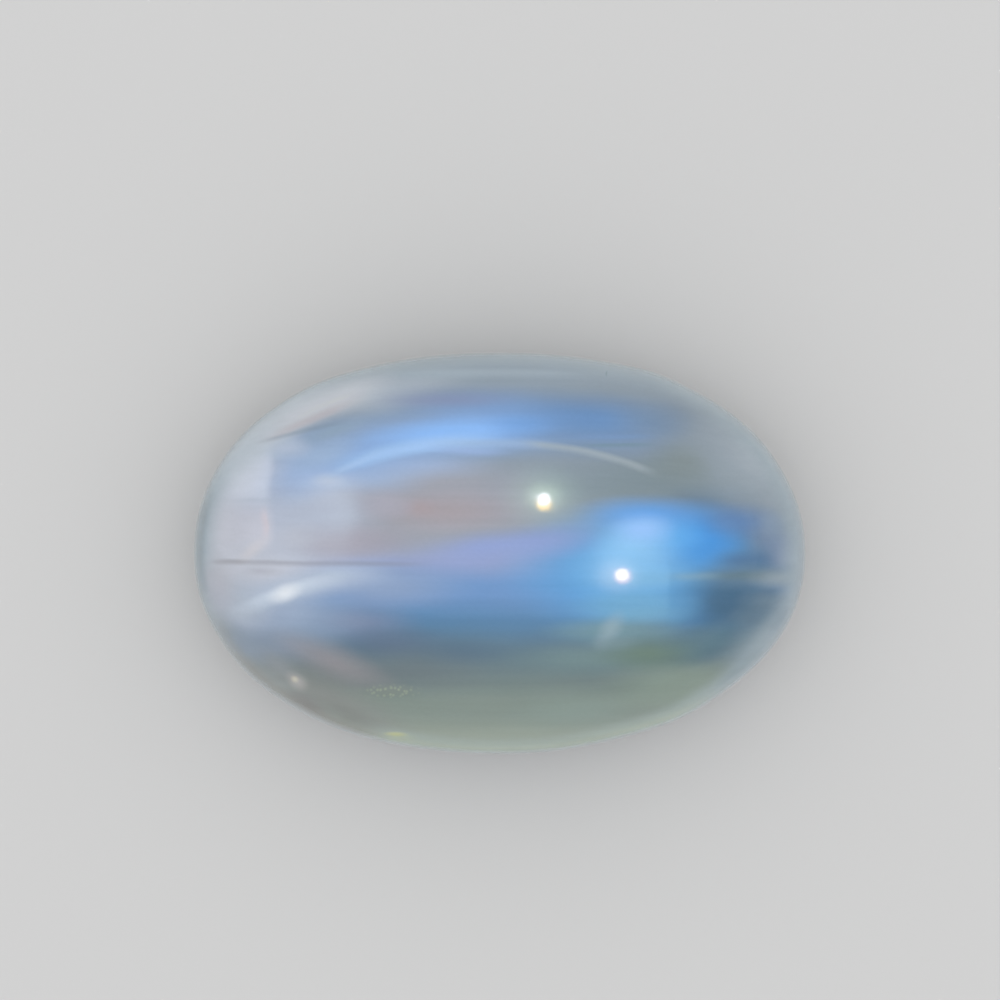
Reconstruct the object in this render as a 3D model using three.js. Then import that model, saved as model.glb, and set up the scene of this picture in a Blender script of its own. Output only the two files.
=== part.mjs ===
// Polished oval moonstone cabochon, lying on its back. Millimetres, +Z up.
// X runs along the stone, Y across it, and the origin is the middle of the flat spot it rests on.
//
// The surface is one closed sweep. A profile runs from the middle of the flat spot, out round the
// underside to the girdle, and up over the dome to the crown. It gives each ring's height and its
// share of the outline, and the outline gives that ring its oval.

import * as THREE from "three";

// Driving dimensions
const LENGTH = 12.2;
const WIDTH = 8.0;
const HEIGHT = 5.6;
const GIRDLE_HEIGHT = 1.5; // where the stone is widest
const FLAT_SHARE = 0.46; // the flat spot's size beside the outline

// How full the curves are: 2 is an ellipse, and more is squarer
const UNDERSIDE_FULLNESS = 2.0;
const DOME_FULLNESS = 2.08;
// The outline was ground by hand, so its four quarters differ. Anticlockwise from +X +Y.
const QUARTER_FULLNESS = [2.2, 2.23, 2.14, 2.04];
// Places where the wheel left the outline a little proud (+) or flat (-)
const SHOULDERS = [
  { angle: 50, rise: 0.045, spread: 7 },
  { angle: 137, rise: 0.028, spread: 8 },
  { angle: 227, rise: 0.024, spread: 9 },
  { angle: 318, rise: 0.035, spread: 7 },
  { angle: 16, rise: -0.026, spread: 8 },
  { angle: 164, rise: -0.018, spread: 8 },
  { angle: 196, rise: -0.036, spread: 7 },
  { angle: 299, rise: -0.014, spread: 9 },
];

// Facets
const SEGMENTS_AROUND = 96;
const FLAT_RINGS = 2;
const UNDERSIDE_RINGS = 10;
const DOME_RINGS = 20;

const DEGREES = 180 / Math.PI;

// The outline's fullness at an angle in degrees: each quarter's own at its middle, eased between them.
function fullnessAt(angle) {
  const quarters = angle / 90 - 0.5;
  const before = Math.floor(quarters);
  const eased = THREE.MathUtils.smoothstep(quarters - before, 0, 1);
  const value = (i) => QUARTER_FULLNESS[(i + 4) % 4];
  return THREE.MathUtils.lerp(value(before), value(before + 1), eased);
}

// How far a shoulder lifts the outline at an angle in degrees.
function shoulderRise({ angle: middle, rise, spread }, angle) {
  const away = ((((angle - middle) % 360) + 540) % 360) - 180;
  return rise * Math.exp(-((away / spread) ** 2));
}

// The outline's radius at an angle in degrees, from 0 up to 360.
function outlineRadius(angle) {
  const along = Math.abs(Math.cos(angle / DEGREES)) / (LENGTH / 2);
  const across = Math.abs(Math.sin(angle / DEGREES)) / (WIDTH / 2);
  const fullness = fullnessAt(angle);
  const oval = (along ** fullness + across ** fullness) ** (-1 / fullness);
  return SHOULDERS.reduce((radius, shoulder) => radius + shoulderRise(shoulder, angle), oval);
}

// A quarter of an oval curve at t from 0 to 1, as [run, rise], which go from [0, 1] to [1, 0].
function quarterCurve(t, fullness) {
  const turn = (t * Math.PI) / 2;
  return [Math.sin(turn) ** (2 / fullness), Math.cos(turn) ** (2 / fullness)];
}

// Points whose x is the share of the outline and whose y is the height, from the flat spot to the crown.
function profile() {
  const points = [];
  for (let i = 0; i < FLAT_RINGS; i++) {
    points.push(new THREE.Vector2((FLAT_SHARE * i) / FLAT_RINGS, 0));
  }
  for (let i = 0; i < UNDERSIDE_RINGS; i++) {
    const [out, down] = quarterCurve(i / UNDERSIDE_RINGS, UNDERSIDE_FULLNESS);
    points.push(new THREE.Vector2(FLAT_SHARE + (1 - FLAT_SHARE) * out, GIRDLE_HEIGHT * (1 - down)));
  }
  for (let i = 0; i < DOME_RINGS; i++) {
    const [up, share] = quarterCurve(i / DOME_RINGS, DOME_FULLNESS);
    points.push(new THREE.Vector2(share, GIRDLE_HEIGHT + (HEIGHT - GIRDLE_HEIGHT) * up));
  }
  points.push(new THREE.Vector2(0, HEIGHT));
  return points;
}

// The profile turned about its axis, stood up along +Z, with each ring drawn out to the outline.
function stoneGeometry() {
  const geometry = new THREE.LatheGeometry(profile(), SEGMENTS_AROUND).rotateX(Math.PI / 2);
  const place = geometry.getAttribute("position");
  for (let i = 0; i < place.count; i++) {
    const angle = (Math.atan2(place.getY(i), place.getX(i)) * DEGREES + 360) % 360;
    const radius = outlineRadius(angle);
    place.setXYZ(i, place.getX(i) * radius, place.getY(i) * radius, place.getZ(i));
  }
  geometry.computeVertexNormals();
  return geometry;
}

const moonstone = new THREE.MeshStandardMaterial({
  color: new THREE.Color().setRGB(0.62, 0.68, 0.76, THREE.SRGBColorSpace),
  roughness: 0.05,
  metalness: 0,
});

const stone = new THREE.Mesh(stoneGeometry(), moonstone);
stone.name = "stone";

const cabochon = new THREE.Group();
cabochon.add(stone);

export default cabochon;
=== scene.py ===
# Looks of the moonstone cabochon: its polished skin, the sheen in it, the studio and the camera.
# Metres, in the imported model's frame: +Z up, X along the stone, the rest spot's middle at 0,0,0.

import math

import bpy
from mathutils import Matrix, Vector


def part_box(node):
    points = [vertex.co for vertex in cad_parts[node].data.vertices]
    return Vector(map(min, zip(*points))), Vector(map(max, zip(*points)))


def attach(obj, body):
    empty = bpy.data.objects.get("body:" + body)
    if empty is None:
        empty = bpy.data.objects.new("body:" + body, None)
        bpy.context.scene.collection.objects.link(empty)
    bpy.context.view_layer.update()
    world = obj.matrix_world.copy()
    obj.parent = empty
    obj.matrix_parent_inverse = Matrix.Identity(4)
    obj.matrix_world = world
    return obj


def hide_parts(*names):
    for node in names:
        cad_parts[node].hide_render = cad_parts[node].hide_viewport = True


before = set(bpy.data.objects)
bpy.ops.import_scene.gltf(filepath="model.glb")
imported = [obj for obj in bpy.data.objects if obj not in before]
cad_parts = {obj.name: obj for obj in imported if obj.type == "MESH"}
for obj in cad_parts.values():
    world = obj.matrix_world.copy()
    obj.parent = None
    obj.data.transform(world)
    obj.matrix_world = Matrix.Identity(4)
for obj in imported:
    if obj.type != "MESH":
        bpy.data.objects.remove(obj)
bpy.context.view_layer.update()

MM = 0.001


# ---------------------------------------------------------------- the stone's form

low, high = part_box("stone")
HALF_LENGTH = (high.x - low.x) / 2
HALF_WIDTH = (high.y - low.y) / 2
CROWN = high.z
GIRDLE = 1.5 * MM
FLAT_SHARE = 0.46

# How full the curves are: 2 is an ellipse, and more is squarer
UNDERSIDE_FULLNESS = 2.0
DOME_FULLNESS = 2.08
QUARTER_FULLNESS = [2.2, 2.23, 2.14, 2.04]

# Places where the wheel left the outline proud (+) or flat (-): angle, rise, spread in degrees
SHOULDERS = [
    (50, 0.045 * MM, 7),
    (137, 0.028 * MM, 8),
    (227, 0.024 * MM, 9),
    (318, 0.035 * MM, 7),
    (16, -0.026 * MM, 8),
    (164, -0.018 * MM, 8),
    (196, -0.036 * MM, 7),
    (299, -0.014 * MM, 9),
]

SEGMENTS_AROUND = 288
FLAT_RINGS = 12
UNDERSIDE_RINGS = 44
DOME_RINGS = 110


def fullness_at(angle):
    """The outline's fullness at an angle in degrees, eased from quarter to quarter."""
    quarter = angle / 90 - 0.5
    before = math.floor(quarter)
    step = quarter - before
    ease = step * step * (3 - 2 * step)
    count = len(QUARTER_FULLNESS)
    return QUARTER_FULLNESS[before % count] * (1 - ease) + QUARTER_FULLNESS[(before + 1) % count] * ease


def outline_radius(angle):
    """How far the girdle is from the middle, at an angle in degrees."""
    across = abs(math.cos(math.radians(angle))) / HALF_LENGTH
    up = abs(math.sin(math.radians(angle))) / HALF_WIDTH
    fullness = fullness_at(angle)
    radius = (across**fullness + up**fullness) ** (-1 / fullness)
    for place, rise, spread in SHOULDERS:
        away = (angle - place + 180) % 360 - 180
        radius += rise * math.exp(-((away / spread) ** 2))
    return radius


def quarter_curve(step, fullness):
    """A point on a quarter of a rounded curve, from (0, 1) at step 0 to (1, 0) at step 1."""
    turn = step * math.pi / 2
    return math.sin(turn) ** (2 / fullness), math.cos(turn) ** (2 / fullness)


def profile():
    """Each ring's share of the outline and its height, from the flat spot's middle to the crown."""
    points = [(FLAT_SHARE * ring / FLAT_RINGS, 0.0) for ring in range(FLAT_RINGS)]
    for ring in range(UNDERSIDE_RINGS):
        out, down = quarter_curve(ring / UNDERSIDE_RINGS, UNDERSIDE_FULLNESS)
        points.append((FLAT_SHARE + (1 - FLAT_SHARE) * out, GIRDLE * (1 - down)))
    for ring in range(DOME_RINGS):
        up, share = quarter_curve(ring / DOME_RINGS, DOME_FULLNESS)
        points.append((share, GIRDLE + (CROWN - GIRDLE) * up))
    points.append((0.0, CROWN))
    return points


def dome_height(x, y):
    """The dome's height above a place."""
    angle = math.degrees(math.atan2(y, x)) % 360
    share = min(1.0, math.hypot(x, y) / outline_radius(angle))
    rise = (1 - share**DOME_FULLNESS) ** (1 / DOME_FULLNESS)
    return GIRDLE + (CROWN - GIRDLE) * rise


def dome_normal(x, y):
    """The way the dome faces above a place."""
    step = 0.001 * MM
    slope_x = (dome_height(x + step, y) - dome_height(x - step, y)) / (2 * step)
    slope_y = (dome_height(x, y + step) - dome_height(x, y - step)) / (2 * step)
    return Vector((-slope_x, -slope_y, 1)).normalized()


def stone_mesh():
    """The polished skin: the CAD solid's sweep, with enough rings to look ground and polished."""
    angles = [360 * step / SEGMENTS_AROUND for step in range(SEGMENTS_AROUND)]
    spokes = [
        (outline_radius(a) * math.cos(math.radians(a)), outline_radius(a) * math.sin(math.radians(a)))
        for a in angles
    ]
    rings = profile()[1:-1]
    points = [(0.0, 0.0, 0.0)]
    for share, height in rings:
        points += [(share * x, share * y, height) for x, y in spokes]
    points.append((0.0, 0.0, CROWN))
    top = len(points) - 1
    last_ring = 1 + (len(rings) - 1) * SEGMENTS_AROUND
    faces = []
    for here in range(SEGMENTS_AROUND):
        there = (here + 1) % SEGMENTS_AROUND
        faces.append((0, 1 + there, 1 + here))
        for ring in range(len(rings) - 1):
            inner = 1 + ring * SEGMENTS_AROUND
            outer = inner + SEGMENTS_AROUND
            faces.append((inner + here, inner + there, outer + there, outer + here))
        faces.append((last_ring + here, last_ring + there, top))
    mesh = bpy.data.meshes.new("polished_stone")
    mesh.from_pydata(points, [], faces)
    mesh.update()
    mesh.shade_smooth()
    return mesh


def add_object(name, data):
    """A new object in the scene."""
    made = bpy.data.objects.new(name, data)
    bpy.context.scene.collection.objects.link(made)
    return made


# ---------------------------------------------------------------- node helpers


def add_node(tree, kind, inputs=None, **settings):
    """A node with its settings, and its inputs set to a value or linked to another node's output."""
    node = tree.nodes.new(kind)
    for name, value in settings.items():
        setattr(node, name, value)
    for name, value in (inputs or {}).items():
        if isinstance(value, bpy.types.NodeSocket):
            tree.links.new(value, node.inputs[name])
        else:
            node.inputs[name].default_value = value
    return node


def maths(tree, operation, *values):
    """One sum of numbers or outputs."""
    return add_node(tree, "ShaderNodeMath", dict(enumerate(values)), operation=operation).outputs[0]


def vector_maths(tree, operation, *values):
    """One sum of vectors or colours."""
    return add_node(tree, "ShaderNodeVectorMath", dict(enumerate(values)), operation=operation).outputs[0]


def scaled(tree, vector, amount):
    """A vector or colour times a number."""
    inputs = {"Vector": vector, "Scale": amount}
    return add_node(tree, "ShaderNodeVectorMath", inputs, operation="SCALE").outputs[0]


def ease(tree, value, start, end, low_value=0.0, high_value=1.0):
    """A smooth step: low_value before start and high_value after end."""
    inputs = {
        "Value": value,
        "From Min": start,
        "From Max": end,
        "To Min": low_value,
        "To Max": high_value,
    }
    node = add_node(tree, "ShaderNodeMapRange", inputs, interpolation_type="SMOOTHSTEP")
    return node.outputs["Result"]


def noise(tree, place, size, detail):
    """Smooth random values about 0.5, in lumps of a size in millimetres along X, Y and Z."""
    grain = add_node(tree, "ShaderNodeMapping", {"Vector": place, "Scale": [1 / s for s in size]})
    inputs = {"Vector": grain.outputs[0], "Scale": 1.0, "Detail": detail}
    return add_node(tree, "ShaderNodeTexNoise", inputs)


def linear(colour):
    """A colour written as on a screen, such as "96cbfa", as the light it stands for."""
    parts = [int(colour[i : i + 2], 16) / 255 for i in (0, 2, 4)]
    return [p / 12.92 if p <= 0.04045 else ((p + 0.055) / 1.055) ** 2.4 for p in parts] + [1.0]


class Paint:
    """Lays soft patches over each other, at places in millimetres.

    A patch has a colour, and may say how clear the stone is there, from 0, milky, to 1, glass.
    """

    def __init__(self, tree, place, colour, clear=0.0):
        self.tree = tree
        self.place = vector_maths(tree, "MULTIPLY", place, (1, 1, 0))
        parts = add_node(tree, "ShaderNodeSeparateXYZ", {0: place})
        self.row = parts.outputs["Y"]
        self.height = parts.outputs["Z"]
        # The place with X and Y changed round, which the turned patches need too
        crossed = {"X": parts.outputs["Y"], "Y": parts.outputs["X"]}
        self.crossed = add_node(tree, "ShaderNodeCombineXYZ", crossed).outputs[0]
        self.colour = add_node(tree, "ShaderNodeRGB").outputs[0]
        self.colour.default_value = linear(colour)
        self.clear = clear

    def product(self, first, second):
        """Two masks, or a mask and a share, multiplied."""
        return maths(self.tree, "MULTIPLY", first, second)

    def lay(self, amount, colour, clear=None):
        """Covers what is there, by an amount from 0 to 1."""
        mix = add_node(self.tree, "ShaderNodeMix", {0: amount, 6: self.colour}, data_type="RGBA")
        mix.inputs[7].default_value = linear(colour)
        self.colour = mix.outputs[2]
        if clear is not None:
            values = {0: amount, 2: self.clear, 3: clear}
            self.clear = add_node(self.tree, "ShaderNodeMix", values, data_type="FLOAT").outputs[0]

    def local(self, at, reach, turn):
        """The place as seen from a patch: 1 at the ends of its reach.

        It is made of vector sums alone. With a mapping node for each turned patch, the stone's
        shader grows too big for the render, which then shows it black.
        """
        cos = math.cos(math.radians(turn))
        sin = math.sin(math.radians(turn))
        start_x = -(at[0] * cos + at[1] * sin) / reach[0]
        start_y = (at[0] * sin - at[1] * cos) / reach[1]
        start = (start_x, start_y, 0)
        if turn:
            slant = (sin / reach[0], -sin / reach[1], 0)
            start = vector_maths(self.tree, "MULTIPLY_ADD", self.crossed, slant, start)
        share = (cos / reach[0], cos / reach[1], 0)
        return vector_maths(self.tree, "MULTIPLY_ADD", self.place, share, start)

    def glow_mask(self, at, reach, share=1.0, turn=0, core=0.0):
        """An oval that holds share inside its core and fades to nothing at its reach."""
        local = self.local(at, reach, turn)
        length = add_node(self.tree, "ShaderNodeVectorMath", {0: local}, operation="LENGTH")
        return ease(self.tree, length.outputs["Value"], 1.0, core, 0.0, share)

    def stroke_mask(self, at, half_length, above, below, share, sag, turn, tip):
        """A band along a bent line. It fades to nothing at above and below it, and over its tips."""
        local = self.local(at, (half_length, 1), turn)
        parts = add_node(self.tree, "ShaderNodeSeparateXYZ", {0: local})
        along = parts.outputs["X"]
        height = parts.outputs["Y"]
        if sag:
            height = maths(self.tree, "MULTIPLY_ADD", self.product(along, along), sag, height)
        upper = ease(self.tree, height, above, 0.0)
        lower = ease(self.tree, height, -below, 0.0)
        ends = ease(self.tree, maths(self.tree, "ABSOLUTE", along), 1.0, 1.0 - tip, 0.0, share)
        return self.product(self.product(upper, lower), ends)

    def wash_mask(self, start, end):
        """Nothing before start and full after end, along Y."""
        return ease(self.tree, self.row, start, end)

    def low_mask(self, start, end, share=1.0):
        """Nothing above the height start, and share below end."""
        return ease(self.tree, self.height, start, end, 0.0, share)

    def glow(self, at, reach, colour, share=1.0, turn=0, core=0.0, clear=None):
        """Lays a soft oval, turned by some degrees."""
        self.lay(self.glow_mask(at, reach, share, turn, core), colour, clear)

    def stroke(self, at, half_length, above, below, colour, share, sag=0.0, turn=0, tip=0.8, clear=None):
        """Lays a soft bent band, turned by some degrees."""
        amount = self.stroke_mask(at, half_length, above, below, share, sag, turn, tip)
        self.lay(amount, colour, clear)

    def wash(self, start, end, colour, clear=None):
        """Lays everything past a line along X."""
        self.lay(self.wash_mask(start, end), colour, clear)


def new_material(name):
    """A material, its node tree and its main shader."""
    material = bpy.data.materials.new(name)
    material.use_nodes = True
    tree = material.node_tree
    return material, tree, tree.nodes["Principled BSDF"]


# ---------------------------------------------------------------- moonstone
# The patches are laid on a stone 12.2 millimetres long, from its middle, and follow this one's length.
# Their colours are as they show in the studio.

PAINTED_HALF_LENGTH = 6.1
PAINT_UNIT = HALF_LENGTH / PAINTED_HALF_LENGTH

STONE_GREY = "929ea9"
STONE_CLEAR = 0.5


def paint_body(paint):
    """The grey upper half, then lavender, blue, slate and grey-green down to the lower edge. The blue is
    the lower band of the painted sheen, and the palest green, along the lower edge, is painted edge
    light.
    """
    paint.wash(2.7, 3.4, "a0adb8")
    paint.wash(0.5, -0.1, "99a5c9", clear=0.4)
    paint.wash(0.0, -0.6, "7498c7", clear=0.3)
    paint.wash(-0.6, -1.35, "6087ab")
    paint.wash(-1.1, -1.9, "6a7f8b", clear=0.45)
    paint.wash(-1.75, -2.5, "7e8c8a")
    paint.wash(-2.35, -2.9, "919d95")
    paint.wash(-3.0, -3.6, "a3aea1")


def paint_middle(paint):
    """The warm grey middle with its peach spot, and the cool grey to the right of it."""
    paint.glow((-1.5, 0.95), (3.4, 1.2), "a4a5ae", 0.95, core=0.3)
    paint.glow((-1.5, 1.7), (1.8, 0.34), "a8b8d4", 0.8)
    paint.glow((-1.0, 0.85), (1.8, 0.5), "aba1a5", 0.85)
    paint.glow((-1.5, 0.92), (0.5, 0.25), "b09fa2", 0.5)
    paint.glow((2.9, 1.3), (2.9, 0.85), "87959b", 0.9, core=0.2)
    paint.glow((4.0, 0.98), (1.4, 0.5), "6f8498", 0.8)
    # Under the lavender, toward the left, and over the green at the bottom
    paint.glow((-2.3, -0.55), (2.1, 0.6), "95a7c5", 0.8, core=0.1)
    paint.glow((-2.7, -1.25), (1.4, 0.55), "8591ab", 0.8)
    paint.glow((-2.1, -1.65), (1.5, 0.45), "69778d", 0.65)
    paint.glow((-0.7, -1.8), (1.2, 0.35), "5f7488", 0.6)
    paint.glow((-1.8, -2.2), (2.4, 0.6), "777f83", 0.6)
    paint.glow((1.7, -1.95), (1.9, 0.45), "7e9494", 0.8)
    paint.glow((1.6, -3.0), (1.9, 0.6), "95a59d", 0.7)


def paint_right_end(paint):
    """The pale grey end, the stone's own grey with painted edge light over it, and the slate blue below
    it.
    """
    paint.glow((5.6, 2.1), (2.6, 1.9), "b3bdc5", 0.95, core=0.1)
    paint.glow((5.1, 1.9), (0.8, 0.5), "b6bfc8", 0.5)
    paint.glow((4.6, 0.0), (1.6, 1.0), "6c869f", 0.95, core=0.2)
    paint.glow((5.0, -1.1), (1.2, 0.7), "788f9e", 0.8, core=0.1)
    paint.glow((5.4, -1.7), (1.7, 0.95), "9aaab1", 0.9, turn=32, core=0.2)
    paint.glow((5.8, -0.1), (0.75, 1.0), "a0afbd", 0.8)


def paint_left_end(paint):
    """The milky lavender end, with the steps of its cleavage."""
    paint.glow((-5.2, 0.5), (2.7, 2.3), "c9cdd8", 1.0, core=0.45, clear=0.15)
    paint.glow((-3.8, 0.8), (1.9, 1.3), "b6bfd1", 0.9, core=0.3, clear=0.2)
    paint.glow((-3.0, 0.25), (1.3, 0.5), "b0adb8", 0.8, core=0.1)
    paint.glow((-2.3, 1.5), (1.3, 0.45), "a6b9d7", 0.85)
    # Bluer and greyer toward the lower edge, with a pinkish haze across it
    paint.glow((-4.6, -1.15), (2.3, 0.9), "a5b4cb", 0.9, core=0.2)
    paint.glow((-4.4, -1.75), (1.9, 0.55), "93a0b1", 0.85, core=0.1)
    paint.glow((-5.1, -1.0), (1.0, 0.8), "bcc4d0", 0.8, core=0.1)
    paint.glow((-3.5, -2.9), (2.4, 0.95), "959794", 0.8, turn=-25, core=0.2)
    paint.glow((-3.15, -2.04), (1.6, 0.5), "a09b9e", 0.75, turn=-22)
    paint.glow((-4.3, -2.15), (0.8, 0.35), "9fa4a8", 0.6, turn=-30)
    # The pale steps, each ending on a short upright line
    paint.glow((-4.2, 2.1), (1.0, 0.5), "bccadd", 0.8, core=0.1)
    paint.glow((-3.9, 1.5), (0.8, 0.75), "a9bad5", 0.8)
    paint.glow((-3.25, 1.45), (0.9, 0.4), "bfcbdf", 0.9)
    paint.glow((-2.15, 0.98), (0.7, 0.4), "b0aebb", 0.7)
    paint.glow((-3.95, 0.35), (0.8, 0.4), "bfc3cf", 0.7)
    paint.stroke((-4.53, 1.56), 0.8, 2.2, 0.22, "d9e0ee", 0.72, turn=90)
    paint.stroke((-4.5, 0.55), 0.6, 1.6, 0.24, "d5d3dc", 0.5, turn=90)
    paint.stroke((-4.5, 0.62), 0.4, 0.16, 0.08, "d6cdd4", 0.6, turn=90)
    paint.stroke((-2.98, 0.8), 0.9, 0.8, 0.42, "c0c8d8", 0.4, turn=90)
    paint.glow((-2.3, 0.3), (1.1, 0.4), "a49faa", 0.5)
    paint.stroke((-4.5, 1.07), 0.9, 0.07, 0.1, "b0bac9", 0.3)
    paint.glow((-4.75, 0.1), (0.55, 0.2), "dad6d9", 0.5, turn=35)


def paint_upper_sheen(paint):
    """The blue band under the upper edge, with the bright line it ends on."""
    # Painted edge light, pale under the upper edge
    paint.glow((-2.2, 3.15), (1.9, 0.6), "bac4cf", 0.9, turn=12, core=0.1)
    paint.glow((-0.9, 3.0), (2.0, 0.4), "8f9fc0", 0.6)
    paint.stroke((0.9, 2.62), 3.0, 0.7, 0.9, "769ccd", 0.92, sag=0.25, tip=0.7)
    paint.stroke((-1.7, 2.17), 3.4, 1.0, 0.75, "93b4e3", 0.95, sag=0.25, turn=11, tip=0.7, clear=0.2)
    paint.glow((-3.35, 2.25), (1.2, 0.5), "9db2ce", 0.75, turn=15)
    paint.glow((-0.8, 2.35), (2.1, 0.4), "96c4ff", 0.95, turn=4, core=0.1)
    paint.glow((-3.4, 1.9), (1.0, 0.4), "a9bfdc", 0.7, turn=15)
    paint.glow((-4.1, 2.08), (0.65, 0.32), "c0cbde", 0.8)
    paint.glow((-3.25, 1.42), (0.5, 0.2), "c6d0df", 0.6)
    paint.glow((0.4, 2.5), (1.0, 0.3), "74a4e0", 0.5)
    paint.glow((3.0, 2.6), (1.1, 0.5), "8299b4", 0.5)
    paint.glow((-1.0, 2.97), (1.6, 0.22), "979fbe", 0.5)
    # A faint light layer and a darker one under the band's right half
    paint.stroke((2.05, 2.26), 1.1, 0.08, 0.08, "84a2cc", 0.55)
    paint.stroke((2.25, 2.1), 0.9, 0.06, 0.08, "7c96a0", 0.5)
    # The bright line, from left to right
    paint.stroke((-2.75, 1.76), 0.75, 0.12, 0.09, "b0c8e6", 0.6, sag=0.03, turn=24)
    paint.stroke((-1.6, 2.06), 1.9, 0.25, 0.2, "abcef8", 0.85, sag=0.2, turn=10, tip=0.7)
    paint.glow((-0.65, 2.0), (1.0, 0.14), "a3bce5", 0.65, turn=-2)
    paint.stroke((-0.1, 2.14), 1.5, 0.14, 0.16, "a6c0e2", 0.7, sag=0.03)
    paint.stroke((1.72, 1.97), 1.45, 0.1, 0.13, "b0bbbf", 0.63, sag=0.14, turn=-12.5, tip=0.4)
    # Grey to the right of it, and a pale line close under the edge, which is painted edge light
    paint.glow((3.45, 1.8), (1.0, 0.6), "8b9592", 0.6)
    paint.stroke((-0.4, 3.53), 2.9, 0.13, 0.18, "b0bec9", 0.75, sag=0.03, tip=0.6)


def paint_right_sheen(paint):
    """The brightest blue, on the right, with the teal light under it and the dark slate beside it."""
    paint.glow((2.6, -0.22), (2.9, 1.42), "66a5db", 0.95, core=0.35, clear=0.2)
    paint.stroke((0.2, 0.23), 2.1, 0.4, 0.5, "94a5d6", 0.85, turn=7)
    paint.glow((3.8, 0.35), (1.25, 0.85), "559be2", 0.95, core=0.1)
    paint.glow((4.6, 0.65), (1.1, 0.45), "6a8dbe", 0.75)
    paint.glow((5.25, 0.35), (0.7, 0.6), "8b9db8", 0.6)
    paint.glow((4.4, -0.88), (1.6, 0.85), "536f87", 0.9, core=0.15)
    paint.glow((5.2, -0.9), (0.8, 0.4), "7d91a0", 0.7)
    paint.glow((4.75, -1.2), (0.5, 0.3), "778c9b", 0.5)
    paint.glow((5.3, 0.6), (0.42, 0.42), "98aabd", 0.55)
    paint.glow((4.65, -0.1), (0.9, 0.3), "5f7c9e", 0.7)
    paint.glow((2.75, 0.78), (1.5, 0.46), "6aa9f0", 0.85)
    paint.glow((3.3, 0.35), (0.8, 0.5), "70b6f2", 0.7)
    paint.glow((2.5, 0.18), (1.05, 0.6), "9bd0fc", 0.9)
    paint.glow((2.7, 0.5), (0.8, 0.42), "9fcaff", 0.9, clear=0.15)
    paint.glow((2.45, -0.25), (1.5, 0.75), "8fc7f2", 0.9)
    paint.glow((2.9, -0.45), (1.6, 0.3), "84b6d6", 0.5)
    paint.glow((2.55, -0.95), (1.5, 0.45), "7bb0d3", 0.8, core=0.2)
    paint.stroke((3.26, -0.75), 0.8, 0.14, 1.0, "5f95c4", 0.4, turn=90)
    # A soft grey band runs to the right end
    paint.stroke((4.95, -0.42), 1.7, 0.38, 0.34, "72899a", 0.85, tip=0.9)
    paint.stroke((4.75, -0.4), 1.2, 0.13, 0.16, "70858c", 0.5)
    paint.stroke((3.7, -0.4), 0.7, 0.12, 0.14, "91afbc", 0.4)
    paint.glow((5.45, -0.46), (0.9, 0.28), "a9b6be", 0.7)
    # Teal under the sheen, with a small slanting pale spot in it, a painted glint, and olive below
    paint.glow((2.1, -1.42), (1.6, 0.36), "7d9ca5", 0.85, core=0.1)
    paint.glow((2.7, -1.14), (1.2, 0.26), "80b1cd", 0.6)
    paint.glow((2.8, -1.5), (1.3, 0.42), "7f9aa0", 0.55)
    paint.glow((2.08, -1.42), (0.54, 0.29), "a2b6bf", 0.55, turn=60)
    paint.glow((3.6, -2.55), (2.0, 0.75), "95a498", 0.85, core=0.2)
    paint.glow((3.9, -1.7), (1.2, 0.5), "6b8590", 0.8, turn=12, core=0.1)
    paint.glow((2.85, -1.88), (1.3, 0.45), "788c7c", 0.8)
    paint.glow((2.2, -1.66), (0.7, 0.22), "879da2", 0.55)


def paint_cleavage(paint):
    """A dark crack and the white streak that runs under it."""
    paint.stroke((-3.6, -0.51), 1.9, 0.42, 0.4, "bcc8da", 0.85, sag=0.22, turn=14)
    paint.stroke((-4.15, -0.68), 1.5, 0.15, 0.28, "d2deec", 0.72, sag=0.14, turn=19, tip=0.9)
    paint.glow((-4.08, -0.72), (0.5, 0.24), "ebf0f6", 0.85, turn=20)
    paint.glow((-4.55, -0.3), (0.6, 0.13), "adafbc", 0.5)
    paint.stroke((-3.4, -0.13), 2.35, 0.08, 0.1, "8a8990", 0.37, tip=0.5)
    paint.stroke((-5.25, -0.13), 0.55, 0.07, 0.1, "8a8888", 0.3)


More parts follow.
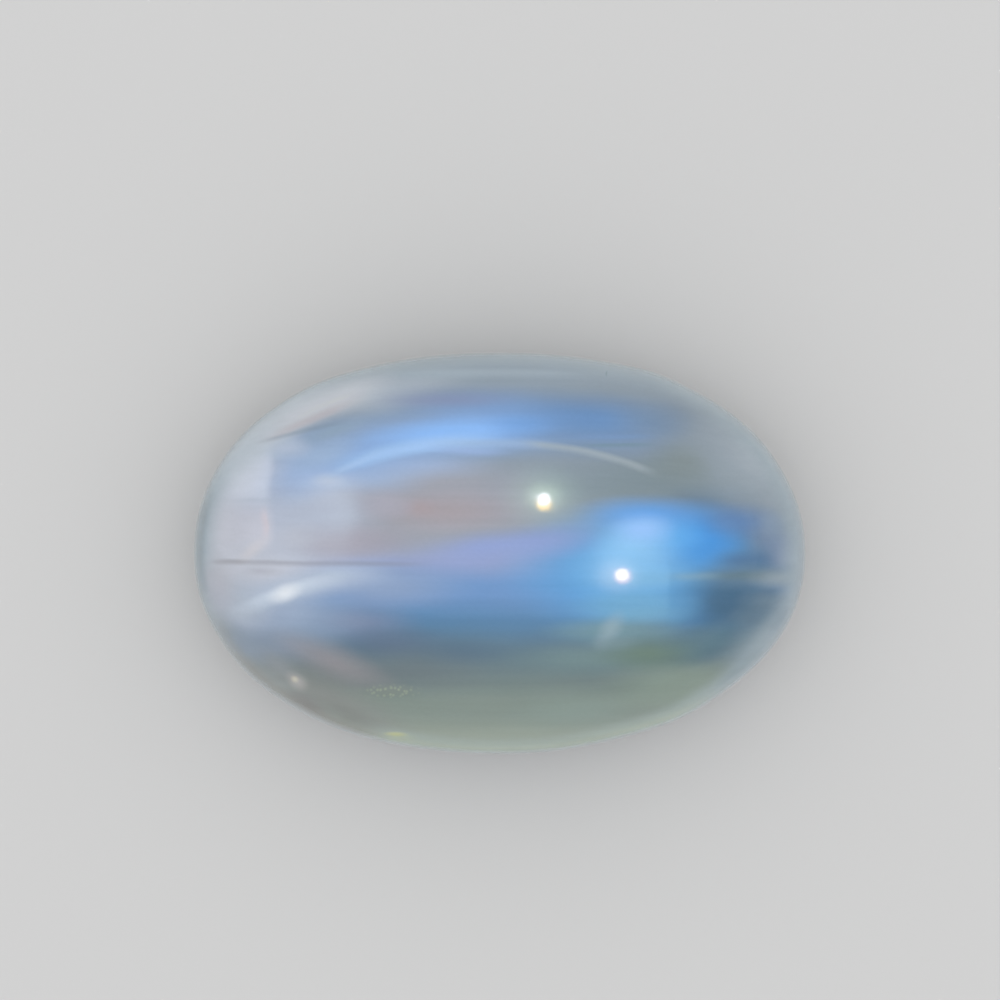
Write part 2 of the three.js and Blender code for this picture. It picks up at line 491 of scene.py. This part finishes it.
def paint_rim(paint):
    """The pale light that gathers in the stone's edge, grey-blue above and green below."""
    edge = paint.low_mask(3.6, 2.7, 0.9)
    green = paint.product(edge, paint.wash_mask(-2.2, -3.4))
    grey = paint.product(edge, paint.glow_mask((-4.2, -2.75), (2.9, 1.3), turn=-35, core=0.4))
    pale = paint.product(
        paint.low_mask(4.0, 3.3), paint.glow_mask((-4.6, 2.6), (2.8, 1.8), 0.85, core=0.3)
    )
    paint.lay(edge, "a8b7c0", clear=0.3)
    paint.lay(green, "b0bfab")
    paint.lay(grey, "94958f")
    paint.lay(pale, "c8d2dc")
    # Darker places in it, at the lower left and the lower right
    paint.glow((-3.75, -2.93), (0.75, 0.3), "848280", 0.8, turn=-27)
    paint.glow((-2.95, -3.2), (1.1, 0.35), "868b84", 0.7, turn=-20)
    paint.glow((4.75, -2.25), (1.0, 0.24), "8b9ea4", 0.6, turn=42)
    paint.glow((5.5, -1.3), (0.5, 0.3), "8598a6", 0.5, turn=55)
    # Lavender reaches the left end's narrow clear rim, and grey-blue runs on below it
    paint.glow((-5.5, -0.55), (0.6, 0.75), "bdbfc8", 0.85)
    paint.glow((-5.0, -1.75), (0.75, 0.4), "97a5b5", 0.8, turn=-35)
    paint.glow((-5.53, -0.88), (0.4, 0.78), "bcc0cd", 0.55, turn=15)
    left = paint.glow_mask((-6.0, 0.2), (0.8, 1.5), 0.75, core=0.4)
    paint.lay(paint.product(paint.low_mask(3.05, 2.6), left), "939fa6")
    # A pale streak under the upper left edge, pinkish below, over a thin dark line
    paint.stroke((-3.45, 2.88), 1.8, 0.44, 0.42, "d7dae1", 0.9, sag=0.1, turn=24)
    paint.stroke((-3.65, 2.62), 1.3, 0.16, 0.14, "c8bfc3", 0.6, turn=24)
    paint.stroke((-3.8, 2.38), 1.1, 0.08, 0.08, "8c9ba8", 0.4, turn=13, tip=0.6)
    paint.glow((-3.15, 2.38), (0.9, 0.2), "99adbd", 0.5, turn=18)


# How far apart the fine specks are, and how far from its middle a speck fades out, in those units
SPECK_SPACING = 0.09
SPECK_REACH = 0.5


def paint_glints(paint):
    """A short scratch near the upper edge. Near the lower one, two glints and a row of fine specks."""
    paint.glow((2.11, 3.54), (0.03, 0.09), "7f959b", 0.6, turn=-15)
    paint.glow((-3.93, -2.46), (0.34, 0.24), "c4c1bd", 0.6, turn=-30)
    paint.glow((-3.97, -2.42), (0.12, 0.1), "ddd6c2", 0.7)
    paint.glow((-2.0, -3.6), (0.46, 0.16), "b4c2a8", 0.75)
    paint.glow((-2.05, -3.52), (0.3, 0.08), "cccf94", 0.8)
    row = paint.glow_mask((-2.1, -2.6), (0.75, 0.18))
    inputs = {"Vector": paint.place, "Scale": 1 / SPECK_SPACING}
    specks = add_node(paint.tree, "ShaderNodeTexVoronoi", inputs, voronoi_dimensions="2D")
    dots = ease(paint.tree, specks.outputs["Distance"], SPECK_REACH, 0.0)
    paint.lay(paint.product(row, 0.65), "8e978e")
    paint.lay(paint.product(row, dots), "a5b09c")


def paint_underside(paint):
    """Even pale stone toward the girdle and below it."""
    paint.lay(paint.low_mask(2.9, 1.8), "acb8bf")


def paint_stone(paint):
    """Every patch of the stone, each over the ones before it."""
    paint_body(paint)
    paint_middle(paint)
    paint_right_end(paint)
    paint_left_end(paint)
    paint_upper_sheen(paint)
    paint_right_sheen(paint)
    paint_rim(paint)
    paint_cleavage(paint)
    paint_glints(paint)
    paint_underside(paint)


# What the studio's light makes of the stone: the part that the polish mirrors, and how much comes
# back from a milky white place and from a clear one
MIRRORED = 0.06
MILKY_RETURN = 1.16
CLEAR_LOSS = 1.02


def skin_colour(tree, seen, clear):
    """The shader's own colour for a colour as it shows."""
    lit = vector_maths(tree, "SUBTRACT", seen, (MIRRORED, MIRRORED, MIRRORED))
    comes_back = maths(tree, "SUBTRACT", MILKY_RETURN, maths(tree, "MULTIPLY", clear, CLEAR_LOSS))
    own = scaled(tree, lit, maths(tree, "DIVIDE", 1.0, comes_back))
    darkest = vector_maths(tree, "MAXIMUM", own, (0, 0, 0))
    return vector_maths(tree, "MINIMUM", darkest, (1, 1, 1))


# How far the patches' edges wander along X, Y and Z, and how long the lumps they wander over are
WANDER = (0.22, 0.1, 0)
WANDER_SIZE = (2.2, 0.8, 1.2)

# How much lighter or darker the layers, the clouds and the grain make the stone, and their sizes
LAYER_DEPTH = 0.1
LAYER_SIZE = (5.0, 0.16, 0.5)
CLOUD_DEPTH = 0.1
CLOUD_SIZE = (1.6, 0.9, 1.2)
GRAIN_DEPTH = 0.05
GRAIN_SIZE = (0.09, 0.06, 0.08)

# The roughness of the polish, from place to place, and the size and the height of its faint waves
SMOOTH_POLISH = 0.045
DULL_POLISH = 0.085
POLISH_SIZE = (0.9, 0.9, 0.9)
POLISH_RISE = 0.002 * MM

# Feldspar bends light about as much as window glass does
FELDSPAR_IOR = 1.52


def wandered(tree, place):
    """The place, moved a little so that no patch has an even edge."""
    lumps = noise(tree, place, WANDER_SIZE, detail=2.0).outputs["Color"]
    shift = vector_maths(tree, "SUBTRACT", lumps, (0.5, 0.5, 0.5))
    return vector_maths(tree, "ADD", place, vector_maths(tree, "MULTIPLY", shift, WANDER))


def depth(tree, place, size, amount, detail):
    """How much lighter or darker than 0 a noise makes the stone."""
    value = noise(tree, place, size, detail=detail).outputs[0]
    return maths(tree, "MULTIPLY", maths(tree, "SUBTRACT", value, 0.5), amount)


def texture(tree, place):
    """What the thin layers along the stone, its clouds and its grain multiply the colour by."""
    layers = depth(tree, place, LAYER_SIZE, LAYER_DEPTH, 2.0)
    clouds = depth(tree, place, CLOUD_SIZE, CLOUD_DEPTH, 1.0)
    grain = depth(tree, place, GRAIN_SIZE, GRAIN_DEPTH, 1.0)
    return maths(tree, "ADD", maths(tree, "ADD", 1.0, layers), maths(tree, "ADD", clouds, grain))


def moonstone():
    """Milky stone with a clear skin of polish. The sheen and the cleavage are drawn in its colour."""
    material, tree, shader = new_material("sheen_moonstone")
    metres = add_node(tree, "ShaderNodeTexCoord").outputs["Object"]
    place = scaled(tree, metres, 1 / PAINT_UNIT)
    paint = Paint(tree, wandered(tree, place), STONE_GREY, clear=STONE_CLEAR)
    paint_stone(paint)
    seen = scaled(tree, paint.colour, texture(tree, place))
    polish = noise(tree, place, POLISH_SIZE, detail=1.0).outputs[0]
    waves = add_node(tree, "ShaderNodeBump", {"Height": polish, "Strength": 1.0, "Distance": POLISH_RISE})

    tree.links.new(skin_colour(tree, seen, paint.clear), shader.inputs["Base Color"])
    tree.links.new(paint.clear, shader.inputs["Transmission Weight"])
    tree.links.new(ease(tree, polish, 0.3, 0.7, SMOOTH_POLISH, DULL_POLISH), shader.inputs["Roughness"])
    tree.links.new(waves.outputs[0], shader.inputs["Normal"])
    shader.inputs["IOR"].default_value = FELDSPAR_IOR
    return material


stone = add_object("polished_stone", stone_mesh())
stone.data.materials.append(moonstone())
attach(stone, "root")
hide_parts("stone")


# ---------------------------------------------------------------- camera

FRAME_WIDTH = 20 * MM
FRAME_PIXELS = 1000
LENS = 120
SENSOR = 36
CAMERA_X = 0.004 * MM
CAMERA_Y = 1.058 * MM
CAMERA_RISE = FRAME_WIDTH * LENS / SENSOR

# How often the dome's height under a pixel is worked out again, each time from a nearer guess
AIM_ROUNDS = 12

camera = add_object("camera", bpy.data.cameras.new("camera"))
camera.data.lens = LENS
camera.data.sensor_width = SENSOR
camera.data.clip_start = 1 * MM
camera.data.clip_end = 10
camera.location = (CAMERA_X, CAMERA_Y, GIRDLE + CAMERA_RISE)
bpy.context.scene.camera = camera
bpy.context.scene.view_settings.view_transform = "Standard"


def dome_point(pixel_x, pixel_y):
    """The point of the dome that shows at a pixel of the frame."""
    ray_x = (pixel_x / FRAME_PIXELS - 0.5) * FRAME_WIDTH
    ray_y = (0.5 - pixel_y / FRAME_PIXELS) * FRAME_WIDTH
    height = CROWN
    for _ in range(AIM_ROUNDS):
        near = 1 - (height - GIRDLE) / CAMERA_RISE
        x = CAMERA_X + ray_x * near
        y = CAMERA_Y + ray_y * near
        height = dome_height(x, y)
    return Vector((x, y, height))


# ---------------------------------------------------------------- studio

FLOOR_HALF = 2.0
FLOOR_DROP = 0.02 * MM
FLOOR_GREY = 0.52
HORIZON_LIGHT = 0.85
OVERHEAD_LIGHT = 1.4


def floor():
    """A pale plain floor, just under the stone."""
    material, _, shader = new_material("floor")
    shader.inputs["Base Color"].default_value = (FLOOR_GREY, FLOOR_GREY, FLOOR_GREY, 1)
    shader.inputs["Roughness"].default_value = 0.9
    shader.inputs["Specular IOR Level"].default_value = 0.2
    mesh = bpy.data.meshes.new("floor")
    corners = [(-1, -1), (1, -1), (1, 1), (-1, 1)]
    points = [(x * FLOOR_HALF, y * FLOOR_HALF, -FLOOR_DROP) for x, y in corners]
    mesh.from_pydata(points, [], [(0, 1, 2, 3)])
    mesh.materials.append(material)
    made = add_object("floor", mesh)


def sky():
    """Soft light from all round, brightest overhead. It is too even to need rays aimed at it."""
    world = bpy.data.worlds.new("studio")
    world.use_nodes = True
    tree = world.node_tree
    way = add_node(tree, "ShaderNodeTexCoord").outputs["Generated"]
    up = add_node(tree, "ShaderNodeSeparateXYZ", {0: way}).outputs["Z"]
    strength = ease(tree, up, 0.0, 1.0, HORIZON_LIGHT, OVERHEAD_LIGHT)
    tree.links.new(strength, tree.nodes["Background"].inputs["Strength"])
    tree.nodes["Background"].inputs["Color"].default_value = (1, 1, 1, 1)
    world.cycles.sampling_method = "NONE"
    bpy.context.scene.world = world


# A lamp's panel: how far it is from the dome, how far it reaches from its spot's middle in pixels of
# the frame, and how finely it is divided
LAMP_DISTANCE = 60 * MM
LAMP_REACH = 56
LAMP_RINGS = 16
LAMP_SPOKES = 48

LAMP_STRENGTH = 25

# Where the two lamps show in the polish, in pixels of the frame, and what each spot is made of:
# place and reach in pixels, core, colour and share
UPPER_SPOT = (543.7, 501)
UPPER_PATCHES = [
    ((0, 5), (52, 40), 0.0, "d8ffc4", 0.1),
    ((0, 4), (26, 20), 0.0, "e6ffd8", 0.2),
    ((0, -3), (9.8, 9), 0.45, "ffd060", 0.75),
    ((0, 1.5), (8, 8), 0.5, "ffffff", 1.0),
]
LOWER_SPOT = (622, 575)
LOWER_PATCHES = [
    ((-5, 0), (30, 24), 0.0, "ffe0c8", 0.14),
    ((0.5, -1), (10.8, 10.2), 0.4, "ffb090", 0.5),
    ((0, 0), (7.6, 7.4), 0.5, "ffe0b0", 0.8),
]


def lamp_mesh(name, spot):
    """A small curved panel that the dome mirrors as a round spot. Its UV map is in pixels of the spot."""
    points = []
    marks = []
    for ring in range(LAMP_RINGS + 1):
        for spoke in range(LAMP_SPOKES):
            turn = 2 * math.pi * spoke / LAMP_SPOKES
            away = LAMP_REACH * ring / LAMP_RINGS
            mark = (away * math.cos(turn), away * math.sin(turn))
            point = dome_point(spot[0] + mark[0], spot[1] - mark[1])
            normal = dome_normal(point.x, point.y)
            view = (point - camera.location).normalized()
            points.append(point + (view - 2 * view.dot(normal) * normal) * LAMP_DISTANCE)
            marks.append(mark)
    faces = []
    for ring in range(LAMP_RINGS):
        for spoke in range(LAMP_SPOKES):
            near = ring * LAMP_SPOKES
            far = near + LAMP_SPOKES
            after = (spoke + 1) % LAMP_SPOKES
            faces.append((near + spoke, far + spoke, far + after, near + after))
    mesh = bpy.data.meshes.new(name)
    mesh.from_pydata(points, [], faces)
    layer = mesh.uv_layers.new(name="spot")
    for loop in mesh.loops:
        layer.data[loop.index].uv = marks[loop.vertex_index]
    mesh.update()
    return mesh


def lamp(name, spot, patches):
    """A lamp seen only in the polish. The mirrored rays find it, so no rays are aimed at it."""
    material = bpy.data.materials.new(name)
    material.use_nodes = True
    material.cycles.emission_sampling = "NONE"
    tree = material.node_tree
    tree.nodes.clear()
    place = add_node(tree, "ShaderNodeTexCoord").outputs["UV"]
    paint = Paint(tree, place, "000000")
    for at, reach, core, colour, share in patches:
        paint.glow(at, reach, colour, share, core=core)
    # The floor doesn't see it in the stone, where it would only make stray bright pixels
    bounces = add_node(tree, "ShaderNodeLightPath").outputs["Diffuse Depth"]
    strength = maths(tree, "MULTIPLY", maths(tree, "LESS_THAN", bounces, 0.5), LAMP_STRENGTH)
    light = add_node(tree, "ShaderNodeEmission", {"Color": paint.colour, "Strength": strength})
    clear = add_node(tree, "ShaderNodeBsdfTransparent")
    both = add_node(tree, "ShaderNodeAddShader", {0: light.outputs[0], 1: clear.outputs[0]})
    add_node(tree, "ShaderNodeOutputMaterial", {"Surface": both.outputs[0]})
    made = add_object(name, lamp_mesh(name, spot))
    made.data.materials.append(material)
    made.visible_camera = False
    made.visible_diffuse = False
    made.visible_transmission = False
    made.visible_shadow = False


floor()
sky()
lamp("upper_lamp", UPPER_SPOT, UPPER_PATCHES)
lamp("lower_lamp", LOWER_SPOT, LOWER_PATCHES)
